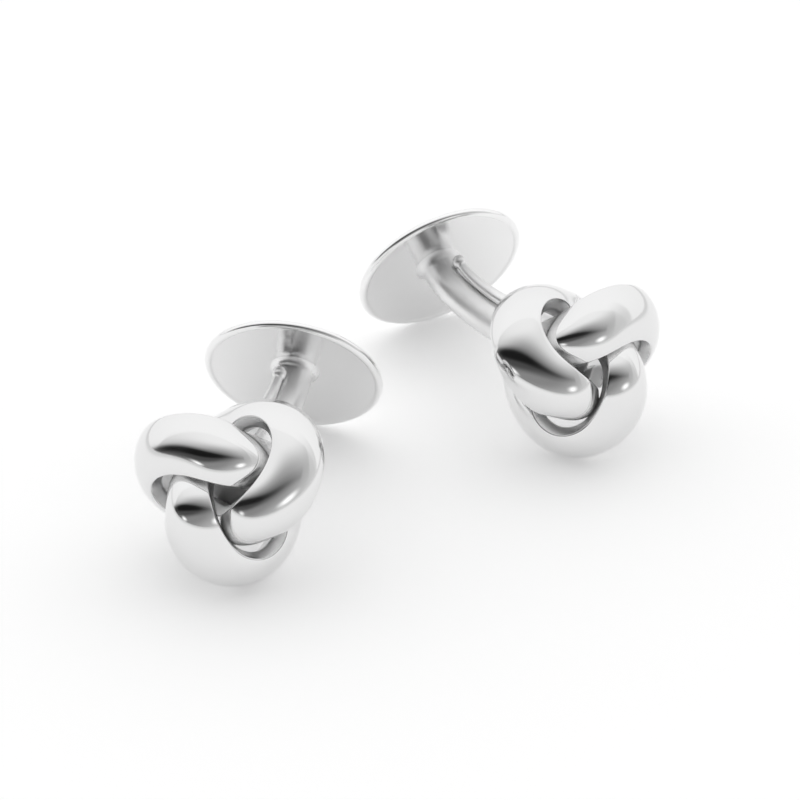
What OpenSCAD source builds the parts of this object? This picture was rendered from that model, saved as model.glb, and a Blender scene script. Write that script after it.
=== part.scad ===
// A mirrored pair of knot cufflinks with fixed round backs, lying on a table.
// The knots are mirror images; each post has its own bend, as handwork leaves it.
// Lengths are in millimetres and angles in degrees. +Z is up and -Y faces the viewer.
// The origin is on the table under the middle of the pair.
// Each cufflink is drawn about its knot's centre, with the knot's axis along +Z,
// and is then turned and set down so that its disc and its knot both touch the table.

/* [Knot] */
// Distance from the knot's axis to the middle line of its band, averaged over a turn
knot_mean_r = 4.55; // [4.3:0.01:4.7]
// How far the three lobes swing out and in from that distance
lobe_swing = 2.07; // [1.6:0.01:2.1]
// How far the tips of the lobes bulge further out
lobe_bulge = 0.45; // [0.3:0.01:0.6]
// How far the band rises and dips along the axis to cross itself
crossing_rise = 2.93; // [2.6:0.01:3.3]
// How far the tips of the lobes droop towards the back
lobe_droop = 0.6; // [0.3:0.01:0.8]
// How far the band sinks at its crossings, and lifts at its tips and in the middle
crossing_sink = 0.19; // [0:0.01:0.4]
// Lead that makes the crossing legs run straighter
leg_lead_angle = 5.6; // [2:0.1:6]
// Lead that moves the lobes' tips round, ahead of their legs
tip_lead_angle = 1.8; // [-1:0.1:3]
// Depth behind the centre of the point that the band's dome faces away from
dome_focus_depth = 4.1; // [3.4:0.1:5.6]
// Roll of the band where it crosses over, and the other way where it dips under
cross_roll_angle = -4.6; // [-12:0.1:2]
// Roll of the band at the lobes' tips, and the other way in the middle
tip_roll_angle = -5.4; // [-12:0.1:2]
// Roll of the band between its crossings and its tips
leg_roll_angle = -5.5; // [-10:0.1:2]

/* [Band] */
// Width of the band
band_w = 4.83; // [4.6:0.01:5.3]
// Share of the width that the lobes' tips are wider, and the middle narrower
tip_width_share = -0.027; // [-0.1:0.001:0.1]
// Share of the width that the band is wider where it crosses over than where it dips under
over_width_share = 0.0; // [-0.1:0.01:0.1]
// Share of the width that the band is wider at its crossings than between them
crossing_width_share = 0.066; // [-0.05:0.001:0.1]
// Height of the band's domed face
dome_h = 1.25; // [1:0.01:1.5]
// Share of the dome's height that the lobes' tips are higher, and the middle lower
tip_dome_share = -0.36; // [-0.4:0.01:0.2]
// Share of the dome's height that the band is higher where it crosses over
over_dome_share = -0.02; // [-0.2:0.01:0.2]
// Share of the dome's height that the band is higher at its crossings than between them
crossing_dome_share = -0.005; // [-0.2:0.005:0.2]
// Height of the band's outer side wall, below the dome
outer_wall_h = 1.5; // [1.2:0.01:1.6]
// How far the outer side wall leans in on its way to the back
outer_wall_inset = 0.31; // [0.2:0.01:0.8]
// Height of the band's inner side wall, towards the knot's axis
inner_wall_h = 1.05; // [0.9:0.01:1.5]
// How far the inner side wall leans in on its way to the back
inner_wall_inset = 0.55; // [0.4:0.01:0.9]
// Rounding of the band's back edges
band_back_round = 0.3; // [0.1:0.05:0.5]

/* [Seat] */
// Radius of the rear face of the plug inside the knot, which takes the post
seat_rear_r = 3.1; // [2.9:0.05:3.4]
// Radius of the plug's front edge, between the backs of the bands
seat_front_r = 2.0; // [1.8:0.05:2.2]
// Distance from the knot's centre back to the plug's rear face
seat_depth = 4.4; // [4:0.1:4.8]
// Length of the plug's tapered side
seat_side_h = 1.9; // [1.6:0.1:2.1]
// Height of the dome on the plug's front
seat_dome_h = 0.4; // [0.2:0.1:0.8]

/* [Post] */
// Radius of the post's trunk
post_r = 1.6; // [1.3:0.1:1.9]
// Radius of the hollow curve in which the post's foot flares
foot_flare_r = 0.8; // [0.6:0.1:1.6]

/* [Post wire] */
// Radius of the wire at its neck, beside the bead
wire_neck_r = 0.42; // [0.38:0.02:0.46]
// Radius of the wire where it meets the knot's seat
wire_root_r = 0.78; // [0.6:0.02:0.84]
// Radius of the bead on the wire's free end
wire_bead_r = 0.6; // [0.5:0.02:0.66]
// Distance along the post from the disc to the bead's tip
wire_start = 1.3; // [1.2:0.1:2]
// Gap that the wire's bent ends leave over the post
wire_end_lift = 0.5; // [0.3:0.1:0.8]
// Direction of the wire round the post, from the inside of its bend
wire_side_angle = -20; // [-35:1:20]

/* [Back disc] */
// Diameter of the disc
disc_d = 15; // [13:0.5:16]
// Thickness of the disc's plate
disc_t = 0.6; // [0.5:0.05:0.8]
// Depth of the shallow dish in the face towards the knot
dish_depth = 0.7; // [0.4:0.1:1]
// Radius of the rolled rim's round edge
rim_r = 0.36; // [0.3:0.02:0.46]

/* [Left post and knot] */
// Turn of the knot's lobes about its axis
left_turn_angle = 36.0; // [34:0.5:42]
// How far the rim's middle lies behind the knot's centre, along the knot's axis
left_disc_behind = 15.8; // [15.5:0.1:17]
// How far the rim's middle lies out to the side that the post bends to
left_disc_out = 6.5; // [6:0.1:7]
// How far the rim's middle lies aside from that bend
left_disc_aside = 2.1; // [1.6:0.1:2.6]
// Angle between the disc's axis and the knot's axis
left_disc_lean_angle = 45.8; // [43:0.2:49]

/* [Right post and knot] */
// Turn of the knot's lobes about its axis
right_turn_angle = 39.1; // [36:0.1:42]
// How far the rim's middle lies behind the knot's centre, along the knot's axis
right_disc_behind = 17.7; // [17:0.1:18.5]
// How far the rim's middle lies out to the side that the post bends to
right_disc_out = 6.4; // [6:0.1:7]
// How far the rim's middle lies aside from that bend
right_disc_aside = 4.1; // [3.8:0.1:5]
// Angle between the disc's axis and the knot's axis
right_disc_lean_angle = 42.3; // [40:0.1:45]

/* [Lying on the table] */
// Roll of the left cufflink about its knot's axis, which sets the place it lies on
left_roll_angle = 93.5; // [90:0.5:97]
// Roll of the right cufflink about its knot's axis, which sets the place it lies on
right_roll_angle = 91.7; // [88:0.1:95]
// Heading of the left cufflink's knot, away from the viewer's line
left_heading_angle = -7.2; // [-12:0.1:-2]
// Heading of the right cufflink's knot, away from the viewer's line
right_heading_angle = 23.4; // [18:0.1:28]
// Distance to the right from the left knot's centre to the right knot's
pair_gap = 28.22; // [27:0.01:30]
// Distance back from the left knot's centre to the right knot's
pair_stagger = 16.57; // [15:0.01:18]

/* [Hidden] */
// Every node, so that each piece can be drawn alone

// Counts of rings and facets
lobes = 3;
lobe_rings = 54;
dome_facets = 16;
corner_facets = 2;
post_rings = 26;
foot_rings = 7;
post_sides = 28;
wire_rings = 20;
bead_rings = 6;
wire_sides = 14;
round_fn = 96;

// Angles that follow from the knot having three lobes
lobe_pitch_angle = 360 / lobes;
lobe_start_angle = -lobe_pitch_angle / 4;
tangent_step_angle = 0.5;

// The foot's flare starts this far round its hollow curve, so that its edge isn't a feather
foot_start_angle = 12;
// Each handle of the post's curve, as a share of the way from foot to seat
post_handle_share = 0.36;
// How far the wire is melted into the post at its middle
solder_sink = 0.05;
// Place along the post where the wire touches it
wire_touch_share = 0.55;
// Colour of polished silver
silver = [0.86, 0.86, 0.87];

// Vectors
function unit(v) = v / norm(v);
function square_to(v, axis) = unit(v - (v * axis) * axis);
function spin_z(p, a) = [p.x * cos(a) - p.y * sin(a), p.x * sin(a) + p.y * cos(a), p.z];
function spin_x(p, a) = [p.x, p.y * cos(a) - p.z * sin(a), p.y * sin(a) + p.z * cos(a)];

// Skin of a tube or band, given as rings of points that all have the same count
module skin(rings) {
    per_ring = len(rings[0]);
    last = len(rings) - 1;
    walls = [
        for (i = [0 : last - 1], j = [0 : per_ring - 1])
            let (a = i * per_ring + j, b = i * per_ring + (j + 1) % per_ring)
                each [[a, b, b + per_ring], [a, b + per_ring, a + per_ring]]
    ];
    first_cap = [for (j = [per_ring - 1 : -1 : 0]) j];
    last_cap = [for (j = [0 : per_ring - 1]) last * per_ring + j];
    polyhedron([for (ring = rings) each ring], concat(walls, [first_cap, last_cap]));
}

// Middle line of the knot's band, at turn t from 0 to 360
function band_middle(t) =
    let (
        r = knot_mean_r + lobe_swing * cos(lobes * t) + lobe_bulge * cos(2 * lobes * t),
        around = 2 * t - leg_lead_angle * sin(lobes * t) - tip_lead_angle * sin(2 * lobes * t),
        height = crossing_rise * sin(lobes * t) - lobe_droop * cos(lobes * t)
            + crossing_sink * cos(2 * lobes * t)
    )
    [r * cos(around), r * sin(around), height];

// Change of a size along the band: more at the tips, where it crosses over, and at its crossings
function varied(t, tip, over, crossing) =
    1 + tip * cos(lobes * t) + over * sin(lobes * t) - crossing * cos(2 * lobes * t);
function width_at(t) =
    band_w * varied(t, tip_width_share, over_width_share, crossing_width_share);
function dome_at(t) = dome_h * varied(t, tip_dome_share, over_dome_share, crossing_dome_share);

// Outline of the band: a low dome on two side walls, x towards its outer side, y off its back
function dome_points(w, h) =
    let (r = (w * w / 4 + h * h) / (2 * h), half_angle = asin(w / 2 / r))
    [
        for (i = [0 : dome_facets])
            let (a = half_angle * (1 - 2 * i / dome_facets))
                [r * sin(a), h - r * (1 - cos(a))]
    ];
function back_corner(w, side, inset, wall_h) = [
    for (i = [0 : corner_facets])
        let (a = 90 * i / corner_facets)
            [
                side * (w / 2 - inset - band_back_round * (1 - cos(a))),
                -wall_h + band_back_round * (1 - sin(a))
            ]
];
function band_outline(w, h) =
    let (outer_corner = back_corner(w, 1, outer_wall_inset, outer_wall_h))
    concat(
        dome_points(w, h),
        back_corner(w, -1, inner_wall_inset, inner_wall_h),
        [for (i = [corner_facets : -1 : 0]) outer_corner[i]]
    );

// One ring of the band, square to its middle line
function band_ring(t) =
    let (
        p = band_middle(t),
        along = unit(band_middle(t + tangent_step_angle) - band_middle(t - tangent_step_angle)),
        out = square_to(p + [0, 0, dome_focus_depth], along),
        across = cross(along, out),
        roll = cross_roll_angle * sin(lobes * t) + tip_roll_angle * cos(lobes * t)
            + leg_roll_angle * sin(2 * lobes * t),
        up = out * cos(roll) + across * sin(roll),
        side = across * cos(roll) - out * sin(roll)
    )
    [for (q = band_outline(width_at(t), dome_at(t))) p + q.x * side + q.y * up];

function lobe_skin(index) = [
    for (i = [0 : lobe_rings])
        band_ring(lobe_start_angle + lobe_pitch_angle * (index + i / lobe_rings))
];

// Outline of the disc: a shallow dish whose rim stands round its edge
disc_r = disc_d / 2;
rim_middle_r = disc_r - rim_r;
dish_r = (rim_middle_r * rim_middle_r + dish_depth * dish_depth) / (2 * dish_depth);
rim_height = dish_depth - disc_t / 2;

// Where each disc stands about its own knot, and which way its axis points
function lean(angle) = [-sin(angle), 0, cos(angle)];
left_axis = lean(left_disc_lean_angle);
right_axis = lean(right_disc_lean_angle);
left_rim = [left_disc_out, left_disc_aside, -left_disc_behind];
right_rim = [right_disc_out, right_disc_aside, -right_disc_behind];

// Ends and handles of a post's middle line, from the dish's middle up to the seat
seat_place = [0, 0, -seat_depth];
function bend(rim, axis) =
    let (foot = rim - axis * rim_height, handle = norm(seat_place - foot) * post_handle_share)
    [foot, foot + axis * handle, seat_place - [0, 0, handle], seat_place];
left_bend = bend(left_rim, left_axis);
right_bend = bend(right_rim, right_axis);
function post_reach(b) = norm(b[3] - b[0]);

// Middle line of the post with bend b, at s from 0 on the disc to 1 on the seat
function post_middle(b, s) =
    let (u = 1 - s)
    u * u * u * b[0] + 3 * u * u * s * b[1] + 3 * u * s * s * b[2] + s * s * s * b[3];
function post_along(b, s) =
    let (u = 1 - s)
    unit(u * u * (b[1] - b[0]) + 2 * u * s * (b[2] - b[1]) + s * s * (b[3] - b[2]));
// Direction across the post, square to the plane that it bends in
function post_side(b, s) = square_to([0, 1, 0], post_along(b, s));
// Direction from the post towards the inside of its bend
function post_inside(b, s) = cross(post_side(b, s), post_along(b, s));

// Foot of the post: a hollow quarter curve that runs out on the disc
foot_angles = [
    for (i = [0 : foot_rings - 1])
        foot_start_angle + (90 - foot_start_angle) * i / foot_rings
];
foot_h = foot_flare_r * cos(foot_start_angle);
function foot_stations(b) = [
    for (a = foot_angles)
        [(foot_h - foot_flare_r * cos(a)) / post_reach(b), post_r + foot_flare_r * (1 - sin(a))]
];
function trunk_stations(b) = [
    for (i = [0 : post_rings])
        let (start = foot_h / post_reach(b))
            [start + (1 - start) * i / post_rings, post_r]
];
function post_ring(b, s, r) = [
    for (i = [0 : post_sides - 1])
        let (a = -360 * i / post_sides)
            post_middle(b, s) + r * (cos(a) * post_inside(b, s) + sin(a) * post_side(b, s))
];

// Wire along the post: its bead, its neck and its stretch up to the seat
bead_end_angle = 180 - asin(wire_neck_r / wire_bead_r);
function bead_stations(b) = [
    for (i = [1 : bead_rings])
        let (a = bead_end_angle * i / bead_rings)
            [(wire_start + wire_bead_r * (1 - cos(a))) / post_reach(b), wire_bead_r * sin(a)]
];
function neck_share(b) = bead_stations(b)[bead_rings - 1][0];
function wire_stations(b) = [
    for (i = [1 : wire_rings])
        let (k = i / wire_rings, neck = neck_share(b))
            [neck + (1 - neck) * k, wire_neck_r + (wire_root_r - wire_neck_r) * k]
];
function wire_lift(s) =
    let (k = max(0, (wire_touch_share - s) / wire_touch_share))
    wire_end_lift * k * k;
function wire_offset(b, s) =
    let (k = max(0, (s - neck_share(b)) / (1 - neck_share(b))))
    post_r - solder_sink + wire_lift(s) + wire_neck_r + (wire_root_r - wire_neck_r) * k;
function wire_ring(b, s, r) =
    let (
        out = cos(wire_side_angle) * post_inside(b, s) + sin(wire_side_angle) * post_side(b, s),
        across = cross(post_along(b, s), out),
        middle = post_middle(b, s) + wire_offset(b, s) * out
    )
    [for (i = [0 : wire_sides - 1])
        let (a = -360 * i / wire_sides)
            middle + r * (cos(a) * out + sin(a) * across)];

// Lying down: the tilt at which the disc's rim and the knot reach equally low
knot_points = [for (k = [0 : lobes - 1]) each [for (ring = lobe_skin(k)) each ring]];
function laid(p, roll, tilt) = spin_x(spin_z(p, roll), tilt);
function lowest_knot(turn, roll, tilt) = min([for (p = knot_points) laid(p, turn + roll, tilt).z]);
function lowest_rim(rim, axis, roll, tilt) =
    laid(rim, roll, tilt).z - rim_r - rim_middle_r * sqrt(1 - pow(laid(axis, roll, tilt).z, 2));
function level_tilt(rim, axis, turn, roll, low, high, rounds) =
    let (middle = (low + high) / 2)
    rounds == 0 ? middle
        : lowest_rim(rim, axis, roll, middle) < lowest_knot(turn, roll, middle)
            ? level_tilt(rim, axis, turn, roll, middle, high, rounds - 1)
            : level_tilt(rim, axis, turn, roll, low, middle, rounds - 1);
flattest_tilt = 40;
steepest_tilt = 85;
tilt_rounds = 16;
function lie(rim, axis, turn, roll) =
    level_tilt(rim, axis, turn, roll, flattest_tilt, steepest_tilt, tilt_rounds);
left_tilt_angle = lie(left_rim, left_axis, left_turn_angle, left_roll_angle);
right_tilt_angle = lie(right_rim, right_axis, right_turn_angle, right_roll_angle);
left_height = -lowest_knot(left_turn_angle, left_roll_angle, left_tilt_angle);
right_height = -lowest_knot(right_turn_angle, right_roll_angle, right_tilt_angle);

// Where each point of a cufflink comes to lie, before the pair is set apart
function left_headed(p) =
    let (q = laid(p, left_roll_angle, left_tilt_angle))
    spin_z([-q.x, q.y, q.z], left_heading_angle);
function right_headed(p) = spin_z(laid(p, right_roll_angle, right_tilt_angle), right_heading_angle);
function span(knot, rim, axis) =
    let (reach = rim_r + rim_middle_r * sqrt(1 - axis * axis))
    [min(min(knot), rim - reach), max(max(knot), rim + reach)];
function left_span(i) =
    let (knot = [for (p = knot_points) left_headed(spin_z(p, left_turn_angle))[i]])
    span(knot, left_headed(left_rim)[i], left_headed(left_axis)[i]);
function right_span(i) =
    let (knot = [for (p = knot_points) right_headed(spin_z(p, right_turn_angle))[i]])
    span(knot, right_headed(right_rim)[i], right_headed(right_axis)[i]);
pair_offset = [pair_gap, pair_stagger];
function pair_middle(i) =
    let (left = left_span(i), right = right_span(i) + [1, 1] * pair_offset[i])
    (min(left[0], right[0]) + max(left[1], right[1])) / 2;
pair_centre = [pair_middle(0), pair_middle(1)];

module lay_left() {
    translate([-pair_centre.x, -pair_centre.y, left_height])
        rotate([0, 0, left_heading_angle])
            mirror([1, 0, 0])
                rotate([left_tilt_angle, 0, 0])
                    rotate([0, 0, left_roll_angle])
                        children();
}
module lay_right() {
    translate([pair_gap - pair_centre.x, pair_stagger - pair_centre.y, right_height])
        rotate([0, 0, right_heading_angle])
            rotate([right_tilt_angle, 0, 0])
                rotate([0, 0, right_roll_angle])
                    children();
}

// One third of the knot: a domed band that passes over the next lobe and under the one before
module knot_lobe(index, turn) {
    color(silver) rotate([0, 0, turn]) skin(lobe_skin(index));
}

// Tapered plug inside the knot, which joins the three lobes and takes the post
module knot_seat() {
    seat_dome_r = (seat_front_r * seat_front_r + seat_dome_h * seat_dome_h) / (2 * seat_dome_h);
    front = seat_side_h - seat_depth;
    color(silver)
        rotate_extrude($fn = round_fn) {
            polygon([[0, -seat_depth], [seat_rear_r, -seat_depth], [seat_front_r, front], [0, front]]);
            intersection() {
                translate([0, front + seat_dome_h - seat_dome_r]) circle(seat_dome_r, $fn = round_fn);
                translate([0, front]) square([seat_front_r, seat_dome_h]);
            }
        }
}

// Curved trunk that flares where it stands on the disc
module post(b) {
    color(silver)
        skin([for (k = concat(foot_stations(b), trunk_stations(b))) post_ring(b, k[0], k[1])]);
}

// Thin wire soldered along the inside of the post's bend, with a bead on its free end
module post_wire(b) {
    color(silver)
        skin([for (k = concat(bead_stations(b), wire_stations(b))) wire_ring(b, k[0], k[1])]);
}

// Shallow dish with a rolled rim
module back_disc(b, angle) {
    color(silver)
        translate(b[0])
            rotate([0, -angle, 0])
                rotate_extrude($fn = round_fn) {
                    intersection() {
                        difference() {
                            translate([0, dish_r]) circle(dish_r + disc_t, $fn = 2 * round_fn);
                            translate([0, dish_r]) circle(dish_r, $fn = 2 * round_fn);
                        }
                        translate([0, -disc_t]) square([rim_middle_r, disc_t + dish_depth]);
                    }
                    translate([rim_middle_r, rim_height]) circle(rim_r, $fn = round_fn);
                }
}

lay_left() knot_lobe(0, left_turn_angle);  // left_lobe_a
lay_left() knot_lobe(1, left_turn_angle);  // left_lobe_b
lay_left() knot_lobe(2, left_turn_angle);  // left_lobe_c
lay_left() knot_seat();  // left_knot_seat
lay_left() post(left_bend);  // left_post
lay_left() post_wire(left_bend);  // left_post_wire
lay_left() back_disc(left_bend, left_disc_lean_angle);  // left_back_disc
lay_right() knot_lobe(0, right_turn_angle);  // right_lobe_a
lay_right() knot_lobe(1, right_turn_angle);  // right_lobe_b
lay_right() knot_lobe(2, right_turn_angle);  // right_lobe_c
lay_right() knot_seat();  // right_knot_seat
lay_right() post(right_bend);  // right_post
lay_right() post_wire(right_bend);  // right_post_wire
lay_right() back_disc(right_bend, right_disc_lean_angle);  // right_back_disc
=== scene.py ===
# %% [markdown]
# # A pair of knot cufflinks in polished silver
# Two mirror-image cufflinks lie on a white table. Each has a knot of three domed bands
# on its front, a bent post behind it, and a round back disc that stays fixed.
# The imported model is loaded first, as a frame: it says where every piece is and how big
# the pair is. The pieces that show are then modelled finer in the same places.

# %% Load the frame
import math

import bmesh
import bpy
from mathutils import Matrix, Vector


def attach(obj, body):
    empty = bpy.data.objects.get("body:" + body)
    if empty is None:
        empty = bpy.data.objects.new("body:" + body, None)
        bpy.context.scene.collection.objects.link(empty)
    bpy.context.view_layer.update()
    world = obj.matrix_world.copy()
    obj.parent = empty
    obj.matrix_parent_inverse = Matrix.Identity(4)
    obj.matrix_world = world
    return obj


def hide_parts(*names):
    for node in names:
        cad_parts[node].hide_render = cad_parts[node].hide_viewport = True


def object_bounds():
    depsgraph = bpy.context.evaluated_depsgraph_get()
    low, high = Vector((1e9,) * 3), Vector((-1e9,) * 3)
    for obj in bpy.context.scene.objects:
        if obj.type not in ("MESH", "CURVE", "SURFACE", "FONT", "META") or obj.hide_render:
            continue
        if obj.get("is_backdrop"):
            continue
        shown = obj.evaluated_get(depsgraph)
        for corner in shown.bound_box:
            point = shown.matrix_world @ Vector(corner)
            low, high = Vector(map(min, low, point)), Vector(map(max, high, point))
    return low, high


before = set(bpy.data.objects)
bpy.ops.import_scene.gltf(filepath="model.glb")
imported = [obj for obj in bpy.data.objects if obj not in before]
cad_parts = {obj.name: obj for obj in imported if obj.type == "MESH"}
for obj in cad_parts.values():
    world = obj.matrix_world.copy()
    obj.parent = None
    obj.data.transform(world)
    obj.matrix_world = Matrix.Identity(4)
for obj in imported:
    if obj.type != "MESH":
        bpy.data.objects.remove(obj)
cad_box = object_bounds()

scene = bpy.context.scene
MM = 0.001
cad_size = cad_box[1] - cad_box[0]
print("packed pair, mm:", [round(side / MM, 2) for side in cad_size])

# %% [markdown]
# ## The camera
# The pair was photographed from the front, about 37 degrees above the table, with a long
# lens: the far cufflink looks almost as big as the near one. A long lens far away gives
# that flat look, where a short lens close by would swell the near knot.
# The point on the table in the middle of the picture is named first, and the camera
# backs away from it along its line of sight.

# %% Camera
pair_centre = Vector((13.6674, 15.5474, 0)) * MM
table_point = Vector((13.41, 22.35, 0)) * MM - pair_centre
camera_elevation = math.radians(36.71)
camera_distance = 308.9 * MM

camera_data = bpy.data.cameras.new("camera")
camera_data.lens = 162.85
camera_data.sensor_width = 36
camera_data.clip_start = 0.01
camera = bpy.data.objects.new("camera", camera_data)
back_away = Vector((0, -math.cos(camera_elevation), math.sin(camera_elevation)))
camera.location = table_point + back_away * camera_distance
camera.rotation_euler = (math.pi / 2 - camera_elevation, 0, 0)
scene.collection.objects.link(camera)
scene.camera = camera
print("camera stands at, mm:", [round(c / MM, 1) for c in camera.location])

# %% [markdown]
# ## Helpers for the mesh work
# A bmesh is Blender's mesh for editing in code. The first helper is used by every piece:
# it turns a finished bmesh into an object, merges doubled points, points the faces
# outwards and shades them smooth. The second makes bands, posts and wires the way a
# goldsmith would see them: one outline, drawn out along a path, station by station.

# %% From a bmesh to an object
def make_object(name, bm, place, material, body, node):
    """The finished piece stands in for its node of the frame and moves with its body."""
    bmesh.ops.transform(bm, matrix=place, verts=bm.verts[:])
    bmesh.ops.remove_doubles(bm, verts=bm.verts[:], dist=0.00002 * MM)
    bmesh.ops.recalc_face_normals(bm, faces=bm.faces[:])
    for face in bm.faces:
        face.smooth = True
    mesh = bpy.data.meshes.new(name)
    bm.to_mesh(mesh)
    bm.free()
    piece = bpy.data.objects.new(name, mesh)
    scene.collection.objects.link(piece)
    mesh.materials.append(material)
    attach(piece, body)
    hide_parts(node)
    print(name, "has", len(mesh.polygons), "faces")
    return piece


# %% Draw an outline out along stations
def draw_out(bm, stations, heights=None):
    """The bmesh holds one face, in its own plane. Each station is the matrix of that
    plane further along the path. The face is extruded from one to the next, and the
    faces it leaves behind are taken out, all but the first, which closes the end.
    Every point remembers its place in the flat outline, which the extrusion hands on.
    The part of the outline above its x axis can grow or shrink, by the heights given."""
    heights = heights or [1.0] * len(stations)
    flat = bm.verts.layers.float_vector.new("flat")
    for vert in bm.verts:
        vert[flat] = vert.co
    face, ring = bm.faces[:][0], bm.verts[:]
    for number, (station, height) in enumerate(zip(stations, heights)):
        if number > 0:
            made = bmesh.ops.extrude_face_region(bm, geom=[face])["geom"]
            if number > 1:
                bmesh.ops.delete(bm, geom=[face], context="FACES_ONLY")
            face = next(part for part in made if isinstance(part, bmesh.types.BMFace))
            ring = [part for part in made if isinstance(part, bmesh.types.BMVert)]
        for vert in ring:
            x, y, _ = vert[flat]
            vert.co = station @ Vector((x, y * height if y > 0 else y, 0))
    bm.verts.layers.float_vector.remove(flat)


def plane_at(middle, side, up, size=1.0):
    """Matrix that puts a flat outline's x along side and its y along up."""
    ahead = side.cross(up)
    turn = Matrix((side * size, up * size, ahead * size)).transposed()
    return Matrix.Translation(middle) @ turn.to_4x4()


def square_to(direction, axis):
    return (direction - direction.dot(axis) * axis).normalized()


# %% [markdown]
# ## Silver, polished by hand
# Sterling silver that has been polished for hours is nearly a mirror, so most of what
# one sees on it is the room. What tells it from chrome are faint traces of the polishing:
# hairlines from the buffing wheel, and patches that shine slightly less.
# One function makes the metal for every piece. A stretched noise gives the hairlines,
# a broad one varies the roughness, and the bump is at most a micron deep.
# A buffing wheel can't reach the narrow gaps between the bands. So the bands carry a
# number called "wall", 0 on their domes and 1 on their walls, and the metal is duller
# where it is 1. The other pieces don't have that number, and Blender then reads it as 0.

# %% The silver
def polished_silver(name, colour, roughness, hairline, stretch=(1.0, 1.0, 1.0), duller=0.0):
    """Colour is how much light it mirrors, and duller is added to the roughness of walls."""
    material = bpy.data.materials.new(name)
    material.use_nodes = True
    nodes, links = material.node_tree.nodes, material.node_tree.links
    shader = nodes["Principled BSDF"]
    shader.inputs["Base Color"].default_value = (colour, colour, colour, 1)
    shader.inputs["Metallic"].default_value = 1.0

    where = nodes.new("ShaderNodeTexCoord")
    place = nodes.new("ShaderNodeMapping")
    place.inputs["Scale"].default_value = stretch
    links.new(where.outputs["Object"], place.inputs["Vector"])

    broad = nodes.new("ShaderNodeTexNoise")
    broad.inputs["Scale"].default_value = 260.0
    broad.inputs["Detail"].default_value = 4.0
    links.new(where.outputs["Object"], broad.inputs["Vector"])
    spread = nodes.new("ShaderNodeMapRange")
    spread.inputs["From Min"].default_value = 0.35
    spread.inputs["From Max"].default_value = 0.65
    spread.inputs["To Min"].default_value = roughness * 0.7
    spread.inputs["To Max"].default_value = roughness * 1.4
    links.new(broad.outputs["Fac"], spread.inputs["Value"])
    unpolished = nodes.new("ShaderNodeAttribute")
    unpolished.attribute_name = "wall"
    rougher = nodes.new("ShaderNodeMath")
    rougher.operation = "MULTIPLY_ADD"
    rougher.inputs[1].default_value = duller
    links.new(unpolished.outputs["Fac"], rougher.inputs[0])
    links.new(spread.outputs["Result"], rougher.inputs[2])
    links.new(rougher.outputs["Value"], shader.inputs["Roughness"])

    fine = nodes.new("ShaderNodeTexNoise")
    fine.inputs["Scale"].default_value = 9000.0
    fine.inputs["Detail"].default_value = 3.0
    links.new(place.outputs["Vector"], fine.inputs["Vector"])
    bump = nodes.new("ShaderNodeBump")
    bump.inputs["Strength"].default_value = hairline
    bump.inputs["Distance"].default_value = 0.001 * MM
    links.new(fine.outputs["Fac"], bump.inputs["Height"])
    links.new(bump.outputs["Normal"], shader.inputs["Normal"])
    return material


band_silver = polished_silver("band_silver", 0.8, 0.09, 0.5, (1.0, 1.0, 0.2), 0.35)
# The discs' silver is painted lighter than the bands'. This is painted light that brightens
# what they mirror of the shadowed table.
disc_silver = polished_silver("disc_silver", 0.88, 0.16, 0.6, (1.0, 0.2, 1.0))
post_silver = polished_silver("post_silver", 0.86, 0.34, 0.8, (0.3, 1.0, 1.0))
# The seat's silver is painted lighter than the bands'. This is painted light against the
# shade deep in the middle of the knot.
seat_silver = polished_silver("seat_silver", 0.95, 0.6, 1.0)
print("metals:", [m.name for m in bpy.data.materials])

# %% [markdown]
# ## Where each cufflink lies
# Every piece is modelled about its own knot's centre, with the knot's axis upwards, as it
# would stand on a goldsmith's bench. A cufflink can't stand on its knot, though: it rolls
# until the edge of its disc and the underside of its knot both touch the table.
# The two matrices below do that roll, the tilt and the heading. The left cufflink is the
# right one's mirror image, so its matrix has a flip in it as well.
# The tilts and heights at which both touch are worked out in the CAD model's source, and
# are repeated here.

# %% Place of the left and the right cufflink
pair_gap, pair_stagger = 28.22, 16.57
left_height, right_height = 8.0414, 8.14608
left_heading, right_heading = -7.2, 23.4
left_tilt, right_tilt = 64.7361, 67.2512
left_roll, right_roll = 93.5, 91.7


def turned(axis, degrees):
    return Matrix.Rotation(math.radians(degrees), 4, axis)


left_place = (
    Matrix.Translation(Vector((0, 0, left_height)) * MM - pair_centre)
    @ turned("Z", left_heading) @ Matrix.Scale(-1, 4, (1, 0, 0))
    @ turned("X", left_tilt) @ turned("Z", left_roll)
)
right_place = (
    Matrix.Translation(Vector((pair_gap, pair_stagger, right_height)) * MM - pair_centre)
    @ turned("Z", right_heading) @ turned("X", right_tilt) @ turned("Z", right_roll)
)
print("left knot's centre, mm:", [round(c / MM, 2) for c in left_place.translation])
print("right knot's centre, mm:", [round(c / MM, 2) for c in right_place.translation])

# %% [markdown]
# ## The band's outline
# Cut through one band of the knot and the cut shows a low dome on two walls that lean
# inwards. The outer wall is the taller one. The inner one is short and leans more, so
# that the three bands can pass one another in the tight middle of the knot.
# The dome is an arc, so a single point is spun round the arc's centre. Its two ends are
# extruded down for the walls, the bottom is closed and the outline filled.
# A vertex bevel then rounds the corners. The two beside the dome matter most: a crisp
# edge with a hair of rounding catches the thin bright line along each band.

# %% Outline of the band
band_width = 4.83 * MM
dome_height = 1.25 * MM
outer_wall = (-0.31 * MM, -1.5 * MM)
inner_wall = (0.55 * MM, -1.05 * MM)
dome_edge_round = 0.1 * MM
foot_round = 0.25 * MM
dome_radius = (band_width ** 2 / 4 + dome_height ** 2) / (2 * dome_height)
dome_angle = 2 * math.asin(band_width / 2 / dome_radius)


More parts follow.
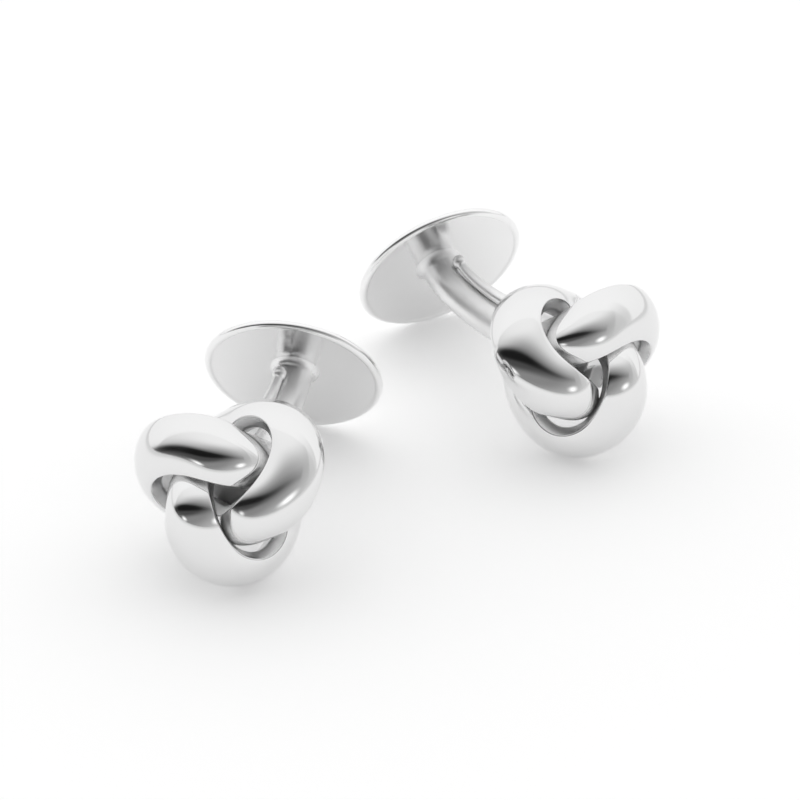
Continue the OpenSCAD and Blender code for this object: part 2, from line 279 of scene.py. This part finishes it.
def band_outline():
    bm = bmesh.new()
    right_top = bm.verts.new((band_width / 2, 0, 0))
    spun = bmesh.ops.spin(
        bm, geom=[right_top], cent=(0, dome_height - dome_radius, 0), axis=(0, 0, 1),
        angle=dome_angle, steps=30,
    )
    left_top = spun["geom_last"][0]
    feet = bmesh.ops.extrude_vert_indiv(bm, verts=[right_top, left_top])["verts"]
    for foot in feet:
        inwards, down = outer_wall if foot.co.x > 0 else inner_wall
        bmesh.ops.translate(bm, vec=(inwards, down, 0), verts=[foot])
    bmesh.ops.contextual_create(bm, geom=feet)
    bmesh.ops.edgeloop_fill(bm, edges=bm.edges[:])
    for corners, rounding in (([right_top, left_top], dome_edge_round), (feet, foot_round)):
        bmesh.ops.bevel(
            bm, geom=corners, offset=rounding, offset_type="OFFSET", segments=4,
            profile=0.5, affect="VERTICES", material=-1, clamp_overlap=True,
        )
    return bm


sample = band_outline()
print("outline:", len(sample.verts), "points round", len(sample.faces), "face")
sample.free()

# %% [markdown]
# ## The knot's path
# The knot is a trefoil: a line that winds twice round the axis while its distance from
# the axis swings three times and its height rises and dips three times. Each lobe passes
# over the next one and under the one before, which needs no start and no end.
# The smaller terms give each lobe its fuller tip, its droop and its straighter legs.
# The path is a formula, because three hand-placed lobes would never meet exactly.
# The band's dome must look outwards all along, so its plane is turned away from a point
# deep behind the knot's centre, and rolled a few degrees where the real band rolls.
# A bent band isn't even either. This one is widest at its crossings and narrowest at the
# tips of the lobes, and its dome is low at the tips and high in the middle of the knot.

# %% Path of the knot
mean_distance, lobe_swing, lobe_bulge = 4.55, 2.07, 0.45
leg_lead, tip_lead = math.radians(5.6), math.radians(1.8)
crossing_rise, lobe_droop, crossing_sink = 2.93, 0.6, 0.19


def knot_point(degrees):
    """Middle line of the band: 0 is the tip of the first lobe and 360 closes the knot."""
    t = math.radians(degrees)
    distance = mean_distance + lobe_swing * math.cos(3 * t) + lobe_bulge * math.cos(6 * t)
    around = 2 * t - leg_lead * math.sin(3 * t) - tip_lead * math.sin(6 * t)
    height = crossing_rise * math.sin(3 * t) - lobe_droop * math.cos(3 * t)
    height += crossing_sink * math.cos(6 * t)
    return Vector((distance * math.cos(around), distance * math.sin(around), height)) * MM


print("the tip of a lobe is", round(knot_point(0).length / MM, 2), "mm from the centre")

# %% Stations of a lobe
dome_focus = Vector((0, 0, -4.1)) * MM
crossing_roll, tip_roll, leg_roll = -4.6, -5.4, -5.5
tip_width, crossing_width = -0.027, 0.066
tip_dome, crossing_over_dome, crossing_dome = -0.36, -0.02, -0.005


def knot_station(degrees):
    """Plane of the outline at that turn, as wide as the band is there."""
    t = math.radians(degrees)
    middle = knot_point(degrees)
    along = (knot_point(degrees + 0.5) - knot_point(degrees - 0.5)).normalized()
    out = square_to(middle - dome_focus, along)
    across = along.cross(out)
    roll = crossing_roll * math.sin(3 * t) + tip_roll * math.cos(3 * t)
    roll = math.radians(roll + leg_roll * math.sin(6 * t))
    up = out * math.cos(roll) + across * math.sin(roll)
    side = across * math.cos(roll) - out * math.sin(roll)
    width = 1 + tip_width * math.cos(3 * t) - crossing_width * math.cos(6 * t)
    return plane_at(middle, side * width, up)


def dome_share(degrees):
    """Height of the dome at that turn, where 1 is its mean height."""
    t = math.radians(degrees)
    share = 1 + tip_dome * math.cos(3 * t) + crossing_over_dome * math.sin(3 * t)
    return share - crossing_dome * math.cos(6 * t)


print("the dome's share of its height, at a tip and in the middle:",
      round(dome_share(0), 3), round(dome_share(60), 3))

# %% [markdown]
# ## The three lobes
# Each lobe is one third of the path. Its two ends lie under its neighbours' backs, where
# the real knot is soldered, so no joint shows. The outline is drawn out in 110 steps,
# close enough together that a mirror finish shows no facets.
# The number that marks the walls is written on the flat outline. Each extrusion hands it
# on to its new points, so it runs along the whole band.

# %% Lobes of both knots
lobe_steps = 110
polish_reach = 0.2 * MM


def knot_lobe(name, index, turn, place, body, node):
    bm = band_outline()
    wall = bm.verts.layers.float.new("wall")
    for vert in bm.verts:
        vert[wall] = min(1.0, max(0.0, -vert.co.y / polish_reach))
    turns = [120 * (index + k / lobe_steps) - 30 for k in range(lobe_steps + 1)]
    draw_out(bm, [knot_station(t) for t in turns], [dome_share(t) for t in turns])
    return make_object(name, bm, place @ turned("Z", turn), band_silver, body, node)


for side, place, turn in (("left", left_place, 36), ("right", right_place, 39.1)):
    for index, letter in enumerate("abc"):
        knot_lobe(
            side + "_band_" + letter, index, turn, place,
            side + "_cufflink", side + "_lobe_" + letter,
        )

# %% [markdown]
# ## The seat
# Through the gap in the middle of the knot one sees the seat: a tapered plug that joins
# the backs of the three bands and carries the post. It is a turned piece, so half of
# its outline is drawn in the plane of the axis and spun once round. Each step of the
# outline says how far it goes outwards and how far forwards, in millimetres.
# Its front is a blunt cone, and it is left rougher than the bands, as no wheel gets there.

# %% Seats of both knots
seat_depth = 4.4 * MM


def knot_seat(name, place, body, node):
    bm = bmesh.new()
    bm.verts.new((0, 0, -seat_depth))
    for reach, height in ((3.1, 0), (-1.1, 1.9), (-2.0, 0.4)):
        last = bm.verts[:][-1]
        made = bmesh.ops.extrude_vert_indiv(bm, verts=[last])["verts"]
        bmesh.ops.translate(bm, vec=(reach * MM, 0, height * MM), verts=made)
        bm.verts.ensure_lookup_table()
    bmesh.ops.spin(
        bm, geom=bm.verts[:] + bm.edges[:], cent=(0, 0, 0), axis=(0, 0, 1),
        angle=2 * math.pi, steps=64, use_merge=True,
    )
    return make_object(name, bm, place, seat_silver, body, node)


knot_seat("left_seat", left_place, "left_cufflink", "left_knot_seat")
knot_seat("right_seat", right_place, "right_cufflink", "right_knot_seat")

# %% [markdown]
# ## The post's path
# The post leaves the seat straight back and then bends towards its disc, which it meets
# square. A curve with two handles does just that: one handle lies on the knot's axis and
# the other on the disc's. Bent by hand, the two posts differ a little.

# %% Path of each post
disc_radius = 7.5 * MM
rim_radius = 0.36 * MM
dish_depth = 0.7 * MM
plate_thickness = 0.6 * MM
seat_place = Vector((0, 0, -seat_depth))
handle_share = 0.36


class PostPath:
    """Middle line of a post, from 0 at the disc to 1 at the seat. The middle of the
    disc's rim lies that far behind, out and aside, in mm, and its axis leans, in degrees."""

    def __init__(self, behind, out, aside, lean):
        self.lean = lean
        self.axis = Vector((-math.sin(math.radians(lean)), 0, math.cos(math.radians(lean))))
        rim_middle = Vector((out, aside, -behind)) * MM
        foot = rim_middle - self.axis * (dish_depth - plate_thickness / 2)
        self.length = (seat_place - foot).length
        handle = self.length * handle_share
        back = Vector((0, 0, handle))
        self.points = (foot, foot + self.axis * handle, seat_place - back, seat_place)

    def middle(self, s):
        a, b, c, d = self.points
        u = 1 - s
        return u ** 3 * a + 3 * u * u * s * b + 3 * u * s * s * c + s ** 3 * d

    def along(self, s):
        a, b, c, d = self.points
        u = 1 - s
        return (u * u * (b - a) + 2 * u * s * (c - b) + s * s * (d - c)).normalized()

    def side(self, s):
        return square_to(Vector((0, 1, 0)), self.along(s))

    def inside(self, s):
        return self.side(s).cross(self.along(s))


left_path = PostPath(behind=15.8, out=6.5, aside=2.1, lean=45.8)
right_path = PostPath(behind=17.7, out=6.4, aside=4.1, lean=42.3)
print("foot to seat, mm:", [round(p.length / MM, 2) for p in (left_path, right_path)])

# %% [markdown]
# ## The posts
# A round post of 3.2 mm is strong enough for a stiff cuff and slim enough for its
# buttonholes. Its foot spreads a little on the disc, in a hollow quarter of a circle,
# which gives the soldered joint more to hold. The outline is a circle whose size changes
# along the foot, then stays the same up to the seat.

# %% Posts of both cufflinks
post_radius = 1.6 * MM
flare_radius = 0.8 * MM
flare_start = math.radians(12)
flare_steps = 16
trunk_steps = 60


def post(name, path, place, body, node):
    bm = bmesh.new()
    bmesh.ops.create_circle(bm, cap_ends=True, segments=56, radius=1.0)
    stations = []
    for k in range(flare_steps):
        angle = flare_start + (math.pi / 2 - flare_start) * k / flare_steps
        height = flare_radius * (math.cos(flare_start) - math.cos(angle))
        s = height / path.length
        radius = post_radius + flare_radius * (1 - math.sin(angle))
        stations.append(plane_at(path.middle(s), path.inside(s), path.side(s), radius))
    first = flare_radius * math.cos(flare_start) / path.length
    for k in range(trunk_steps + 1):
        s = first + (1 - first) * k / trunk_steps
        stations.append(plane_at(path.middle(s), path.inside(s), path.side(s), post_radius))
    draw_out(bm, stations)
    return make_object(name, bm, place, post_silver, body, node)


post("left_trunk", left_path, left_place, "left_cufflink", "left_post")
post("right_trunk", right_path, right_place, "right_cufflink", "right_post")

# %% [markdown]
# ## The wires on the posts
# A thin wire lies along the inside of each post's bend. It starts in a small round bead,
# free of the post, narrows to a neck, comes down to touch the post and gets thicker up to
# the knot. It is drawn out like the post, with the circle growing and shrinking.

# %% Wires of both posts
wire_start = 1.3 * MM
neck_radius = 0.42 * MM
root_radius = 0.78 * MM
bead_radius = 0.6 * MM
wire_turn = math.radians(-20)
end_lift = 0.5 * MM
touch_share = 0.55
solder_sink = 0.05 * MM
bead_steps = 14
stem_steps = 60


def wire_station(path, s, neck, radius):
    """The wire lies beside the post, lifted off it before it touches."""
    grown = max(0.0, (s - neck) / (1 - neck))
    lifted = end_lift * max(0.0, (touch_share - s) / touch_share) ** 2
    offset = post_radius - solder_sink + lifted
    offset += neck_radius + (root_radius - neck_radius) * grown
    out = math.cos(wire_turn) * path.inside(s) + math.sin(wire_turn) * path.side(s)
    across = path.along(s).cross(out)
    return plane_at(path.middle(s) + offset * out, out, across, radius)


def post_wire(name, path, place, body, node):
    bm = bmesh.new()
    bmesh.ops.create_circle(bm, cap_ends=True, segments=28, radius=1.0)
    bead_end = math.pi - math.asin(neck_radius / bead_radius)
    bead = []
    for k in range(1, bead_steps + 1):
        angle = bead_end * k / bead_steps
        reach = (wire_start + bead_radius * (1 - math.cos(angle))) / path.length
        bead.append((reach, bead_radius * math.sin(angle)))
    neck = bead[-1][0]
    stem = []
    for k in range(1, stem_steps + 1):
        grown = k / stem_steps
        radius = neck_radius + (root_radius - neck_radius) * grown
        stem.append((neck + (1 - neck) * grown, radius))
    draw_out(bm, [wire_station(path, s, neck, radius) for s, radius in bead + stem])
    return make_object(name, bm, place, post_silver, body, node)


post_wire("left_wire", left_path, left_place, "left_cufflink", "left_post_wire")
post_wire("right_wire", right_path, right_place, "right_cufflink", "right_post_wire")

# %% [markdown]
# ## The back discs
# A disc is a shallow dish with a turned-up lip, spun on a lathe. Four arcs give its
# outline: the hollow face, a small cove where the face turns up, the round lip and the
# back. Where one arc passes into the next they touch, as a polished surface has no step.
# So the cove's centre must be found: it lies where two circles cross.
# The discs are polished like the bands but a shade less, as their faces rub on the cuff.
# Each arc is spun from the last point of the one before. Then the whole outline is spun
# once round the disc's axis.

# %% Where two circles cross
def crossing(centre_a, radius_a, centre_b, radius_b):
    """Of the two points where the circles cross, the one nearer to the disc's axis."""
    apart = centre_b - centre_a
    ahead = (radius_a ** 2 - radius_b ** 2 + apart.length_squared) / (2 * apart.length)
    aside = math.sqrt(radius_a ** 2 - ahead ** 2)
    forth = apart.normalized()
    square = Vector((forth.z, 0, -forth.x))
    return min(
        (centre_a + forth * ahead + square * aside * sign for sign in (-1, 1)),
        key=lambda point: point.x,
    )


def angle_about(centre, point):
    return math.atan2(point.x - centre.x, point.z - centre.z)


# %% Outline of the disc
cove_radius = 0.2 * MM
lip_middle = disc_radius - rim_radius
dish_radius = (lip_middle ** 2 + dish_depth ** 2) / (2 * dish_depth)
dish_centre = Vector((0, 0, dish_radius))
lip_centre = Vector((lip_middle, 0, dish_depth - plate_thickness / 2))
cove_centre = crossing(
    dish_centre, dish_radius - cove_radius, lip_centre, rim_radius + cove_radius
)
face_end = dish_centre + (cove_centre - dish_centre).normalized() * dish_radius
cove_end = cove_centre + (lip_centre - cove_centre).normalized() * cove_radius
lip_end = crossing(dish_centre, dish_radius + plate_thickness, lip_centre, rim_radius)
print("the cove begins", round(face_end.x / MM, 2), "mm from the disc's middle")

disc_arcs = (
    (dish_centre, Vector((0, 0, 0)), face_end, -1, 44),
    (cove_centre, face_end, cove_end, -1, 12),
    (lip_centre, cove_end, lip_end, 1, 36),
    (dish_centre, lip_end, Vector((0, 0, -plate_thickness)), 1, 24),
)


# %% Discs of both cufflinks
def back_disc(name, path, place, body, node):
    bm = bmesh.new()
    point = bm.verts.new((0, 0, 0))
    for centre, start, end, sign, steps in disc_arcs:
        angle = (angle_about(centre, end) - angle_about(centre, start)) * sign
        angle = sign * (angle % (2 * math.pi))
        spun = bmesh.ops.spin(
            bm, geom=[point], cent=centre, axis=(0, 1, 0), angle=angle, steps=steps
        )
        point = next(g for g in spun["geom_last"] if isinstance(g, bmesh.types.BMVert))
    bmesh.ops.spin(
        bm, geom=bm.verts[:] + bm.edges[:], cent=(0, 0, 0), axis=(0, 0, 1),
        angle=2 * math.pi, steps=160, use_merge=True,
    )
    stand = Matrix.Translation(path.points[0]) @ turned("Y", -path.lean)
    return make_object(name, bm, place @ stand, disc_silver, body, node)


back_disc("left_disc", left_path, left_place, "left_cufflink", "left_back_disc")
back_disc("right_disc", right_path, right_place, "right_cufflink", "right_back_disc")

# %% [markdown]
# ## The table
# The pair lies on a plain sheet of white paper. It is matt, so it keeps the pair's soft
# shadow. A faint glow brings it up to white. The camera sees the glow, and so do mirrored
# and refracted views, because metal shows the paper it lies on. Diffuse rays don't see it,
# so it lights nothing and the shadow stays.
# Further away than the picture shows, the paper's colour is painted darker, as painted
# shade, and its glow fades with it.
# Otherwise each dome would mirror a hard bright line where the paper meets the dark opening
# of the tent.

# %% Table
table_bm = bmesh.new()
bmesh.ops.create_grid(table_bm, x_segments=1, y_segments=1, size=1.5)
table_mesh = bpy.data.meshes.new("table")
table_bm.to_mesh(table_mesh)
table_bm.free()
table = bpy.data.objects.new("table", table_mesh)
scene.collection.objects.link(table)
table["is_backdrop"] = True

# %% Arithmetic in a node tree
def math_node(tree, operation, first, second=None):
    """One step of a sum. The first value is a socket, the second a socket or a number."""
    node = tree.nodes.new("ShaderNodeMath")
    node.operation = operation
    tree.links.new(first, node.inputs[0])
    if hasattr(second, "links"):
        tree.links.new(second, node.inputs[1])
    elif second is not None:
        node.inputs[1].default_value = second
    return node.outputs["Value"]


# %% Paper
paper_near, paper_far = 0.95, 0.72
near_reach, far_reach = 75 * MM, 200 * MM
paper_glow = 0.26

paper = bpy.data.materials.new("white_paper")
paper.use_nodes = True
sheet, join = paper.node_tree.nodes, paper.node_tree.links
paper_shader = sheet["Principled BSDF"]
paper_shader.inputs["Roughness"].default_value = 0.9
paper_shader.inputs["Specular IOR Level"].default_value = 0.2

spot = sheet.new("ShaderNodeTexCoord")
away = sheet.new("ShaderNodeVectorMath")
away.operation = "LENGTH"
join.new(spot.outputs["Object"], away.inputs[0])
# Painted shade: the paper's colour gets darker from near_reach to far_reach away from the
# middle of the sheet.
dimmer = sheet.new("ShaderNodeMapRange")
dimmer.interpolation_type = "SMOOTHSTEP"
dimmer.inputs["From Min"].default_value = near_reach
dimmer.inputs["From Max"].default_value = far_reach
dimmer.inputs["To Min"].default_value = paper_near
dimmer.inputs["To Max"].default_value = paper_far
join.new(away.outputs["Value"], dimmer.inputs["Value"])
join.new(dimmer.outputs["Result"], paper_shader.inputs["Base Color"])

rays = sheet.new("ShaderNodeLightPath").outputs
seen = math_node(paper.node_tree, "MAXIMUM", rays["Is Camera Ray"], rays["Is Glossy Ray"])
seen = math_node(paper.node_tree, "MAXIMUM", seen, rays["Is Transmission Ray"])
glow = math_node(paper.node_tree, "MULTIPLY", seen, paper_glow)
glow = math_node(paper.node_tree, "MULTIPLY", glow, dimmer.outputs["Result"])
paper_shader.inputs["Emission Color"].default_value = (1, 1, 1, 1)
join.new(glow, paper_shader.inputs["Emission Strength"])
table_mesh.materials.append(paper)
print("the paper has", len(sheet), "nodes")

# %% [markdown]
# ## The white tent
# Polished silver shows whatever is round it, so it is photographed in a tent of white
# cloth, lit from outside. All that is not white in the tent becomes a dark shape on the
# metal, and those shapes are what makes it look like metal. Here that is the opening at
# the front, where the camera looks in from a dark room, and the dimmer cloth round it.
# The tent is painted on the world: each patch is an oval in one direction, with a soft
# edge, and lies over the ones before. Azimuth 0 is towards the camera, 90 is to the right.
# The narrow dark one, rising to the right, makes the long dark streak across each lobe.
# The last two are small lamps, brighter than the cloth, that give each lobe its highlight.

# %% Oval patches of the tent
world = bpy.data.worlds.new("white_tent")
world.use_nodes = True
scene.world = world
tent, tie = world.node_tree.nodes, world.node_tree.links
look = tent.new("ShaderNodeTexCoord").outputs["Generated"]


def tent_math(operation, first, second=None):
    return math_node(world.node_tree, operation, first, second)


def smooth(value, low, high, at_low, at_high):
    node = tent.new("ShaderNodeMapRange")
    node.interpolation_type = "SMOOTHSTEP"
    tie.new(value, node.inputs["Value"])
    ends = {"From Min": low, "From Max": high, "To Min": at_low, "To Max": at_high}
    for name, number in ends.items():
        node.inputs[name].default_value = number
    return node.outputs["Result"]


def oval(azimuth, elevation, half_width, half_height, softness, roll):
    """1 inside an oval round that direction, 0 outside it, softly between."""
    turn = tent.new("ShaderNodeMapping")
    turn.vector_type = "TEXTURE"
    turn.inputs["Rotation"].default_value = (
        Matrix.Rotation(math.radians(azimuth + 180), 3, "Z")
        @ Matrix.Rotation(math.radians(elevation), 3, "X")
        @ Matrix.Rotation(math.radians(roll), 3, "Y")
    ).to_euler()
    turn.inputs["Scale"].default_value = (
        math.sin(math.radians(half_width)), 1.0, math.sin(math.radians(half_height))
    )
    tie.new(look, turn.inputs["Vector"])
    parts = tent.new("ShaderNodeSeparateXYZ")
    tie.new(turn.outputs["Vector"], parts.inputs["Vector"])
    across = tent_math("POWER", tent_math("ABSOLUTE", parts.outputs["X"]), 2.0)
    upright = tent_math("POWER", tent_math("ABSOLUTE", parts.outputs["Z"]), 2.0)
    far = tent_math("SQRT", tent_math("ADD", across, upright))
    inside = smooth(far, 1 - softness, 1 + softness, 1.0, 0.0)
    ahead = tent_math("GREATER_THAN", parts.outputs["Y"], 0.0)
    return tent_math("MULTIPLY", inside, ahead)


def lay_over(cloth, patch, brightness):
    node = tent.new("ShaderNodeMix")
    tie.new(patch, node.inputs["Factor"])
    tie.new(cloth, node.inputs["A"])
    node.inputs["B"].default_value = brightness
    return node.outputs["Result"]


# %% Light in the tent
height = tent.new("ShaderNodeSeparateXYZ")
tie.new(look, height.inputs["Vector"])
cloth = smooth(height.outputs["Z"], low=-0.1, high=0.9, at_low=0.94, at_high=1.0)
for azimuth, elevation, half_width, half_height, softness, roll, brightness in (
    (0, 4, 94, 56, 0.45, 0, 0.68),
    (4, 20, 78, 36, 0.5, 8, 0.46),
    (-22, 28, 66, 30, 0.4, 28, 0.26),
    (-42, 28, 60, 14, 0.4, 30, 0.07),
    (-46, 31, 54, 7, 0.4, 30, 0.01),
    (-48, 4, 6, 3, 1.0, 0, 1.2),
    (43, 9, 9, 5, 1.0, 0, 1.35),
):
    cloth = lay_over(
        cloth, oval(azimuth, elevation, half_width, half_height, softness, roll), brightness
    )
tent_strength = 1.1
background = tent["Background"]
tie.new(cloth, background.inputs["Color"])
background.inputs["Strength"].default_value = tent_strength
scene.view_settings.view_transform = "Standard"
print("the tent has", len(tent), "nodes")

# %% [markdown]
# ## Last look
# The new pieces' box is measured against the imported one's, and the change is printed.
# The visual pair may not outgrow the imported one.

# %% Sizes and finish
new_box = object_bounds()
growth = [(new_box[1] - new_box[0])[k] / cad_size[k] - 1 for k in range(3)]
print("the pieces change the box by, percent:", [round(100 * g, 2) for g in growth])
